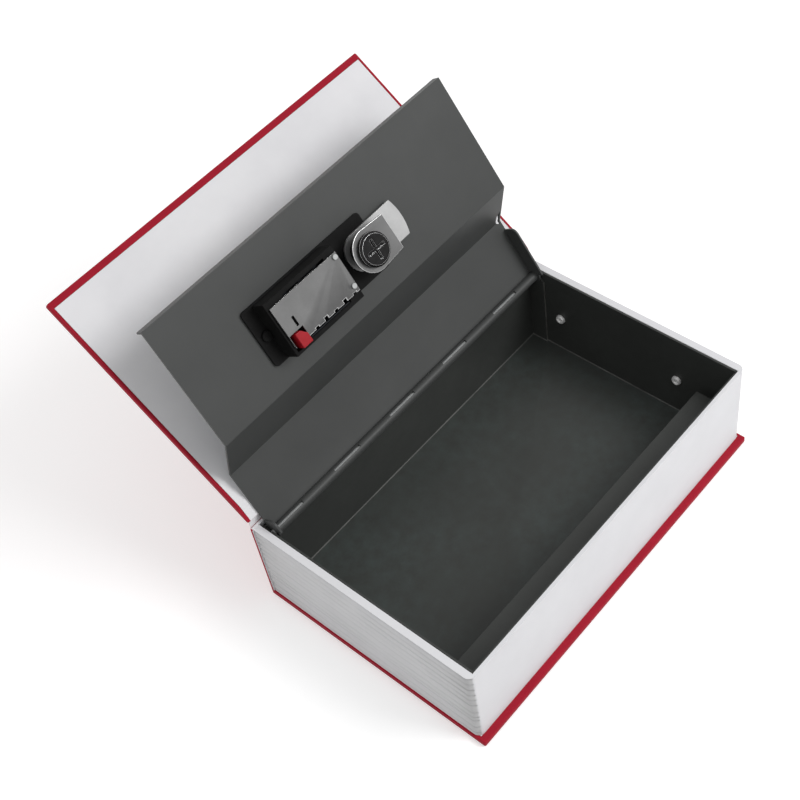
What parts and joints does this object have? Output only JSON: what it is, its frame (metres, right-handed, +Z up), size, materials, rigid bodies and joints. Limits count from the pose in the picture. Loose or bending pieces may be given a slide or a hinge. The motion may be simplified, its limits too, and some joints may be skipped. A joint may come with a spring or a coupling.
{
  "type": "book diversion safe",
  "caption": "Cloth-bound hollow book lying open: steel cash tray in a white page block, hinged steel lid with a combination dial lock, hinged front cover.",
  "frame": {"origin": "centre of the back cover's underside, which the book lies on", "axes": "+X from the book's tail to its head, +Y towards the spine, +Z up"},
  "size_m": [0.18, 0.2068, 0.1373],
  "materials": {
    "book_cloth": "fine red book cloth, matt",
    "grey_board": "pressed greyboard",
    "lining_paper": "smooth white lining paper",
    "page_plastic": "moulded white plastic, ribbed like page edges",
    "painted_steel": "dark grey paint, hammertone on the lid's outer side",
    "bright_steel": "bare steel",
    "plated_steel": "zinc-plated sheet",
    "black_plastic": "black moulded plastic",
    "gold_foil": "pale gold foil",
    "red_plastic": "red moulded plastic"
  },
  "bodies": {
    "base": {"case_cloth": "book_cloth", "back_board": "grey_board", "spine_board": "grey_board", "back_lining": "lining_paper", "page_block": "page_plastic", "steel_tray": "painted_steel", "latch_rail": "painted_steel", "tail_rivet_1": "bright_steel", "tail_rivet_2": "bright_steel", "head_rivet_1": "bright_steel", "head_rivet_2": "bright_steel", "hinge_rod": "bright_steel"},
    "lid": {"lid": "painted_steel", "lock_bezel": "black_plastic", "bezel_border": "gold_foil", "lock_housing": "black_plastic", "dial_axle": "bright_steel", "detent_spring": "bright_steel", "mechanism_plate": "plated_steel", "plate_stud_1": "bright_steel", "plate_stud_2": "bright_steel", "clamp_screw_1": "painted_steel", "clamp_screw_2": "painted_steel"},
    "front_cover": {"front_cloth": "book_cloth", "front_board": "grey_board", "front_lining": "lining_paper"},
    "latch": {"knob": "black_plastic", "spindle": "black_plastic", "cam_tongue": "plated_steel", "cam_plate": "plated_steel", "cam_screw": "black_plastic"},
    "dial_a": {"dial_1": "black_plastic"},
    "dial_b": {"dial_2": "black_plastic"},
    "dial_c": {"dial_3": "black_plastic"},
    "gate": {"gate_bar": "bright_steel"},
    "reset": {"reset_lever": "red_plastic"}
  },
  "joints": [
    {"name": "lid_hinge", "type": "hinge", "parent": "base", "child": "lid", "pos_m": [0, 0.0496, 0.0462], "axis": [1, 0, 0], "range_deg": [0, 124]},
    {"name": "cover_hinge", "type": "hinge", "parent": "base", "child": "front_cover", "pos_m": [0, 0.0575, 0.052], "axis": [1, 0, 0], "range_deg": [0, 143]},
    {"name": "knob_turn", "type": "hinge", "parent": "lid", "child": "latch", "pos_m": [0.009, 0.07592, 0.10999], "axis": [0, -0.829, 0.5592], "range_deg": [0, 80]},
    {"name": "dial_1_turn", "type": "hinge", "parent": "lid", "child": "dial_a", "pos_m": [0, 0.07343, 0.11167], "axis": [1, 0, 0], "continuous": true},
    {"name": "dial_2_turn", "type": "hinge", "parent": "lid", "child": "dial_b", "pos_m": [0, 0.07343, 0.11167], "axis": [1, 0, 0], "continuous": true},
    {"name": "dial_3_turn", "type": "hinge", "parent": "lid", "child": "dial_c", "pos_m": [0, 0.07343, 0.11167], "axis": [1, 0, 0], "continuous": true},
    {"name": "gate_slide", "type": "slide", "parent": "lid", "child": "gate", "axis": [0, -0.5592, -0.829], "range_m": [0, 0.001]},
    {"name": "reset_slide", "type": "slide", "parent": "lid", "child": "reset", "axis": [-1, 0, 0], "range_m": [0, 0.0015]}
  ],
  "couplings": [
    {"joint": "cover_hinge", "follows": "lid_hinge", "ratio": 1.1532},
    {"joint": "gate_slide", "follows": "knob_turn", "m_per_rad": 0.00071}
  ]
}
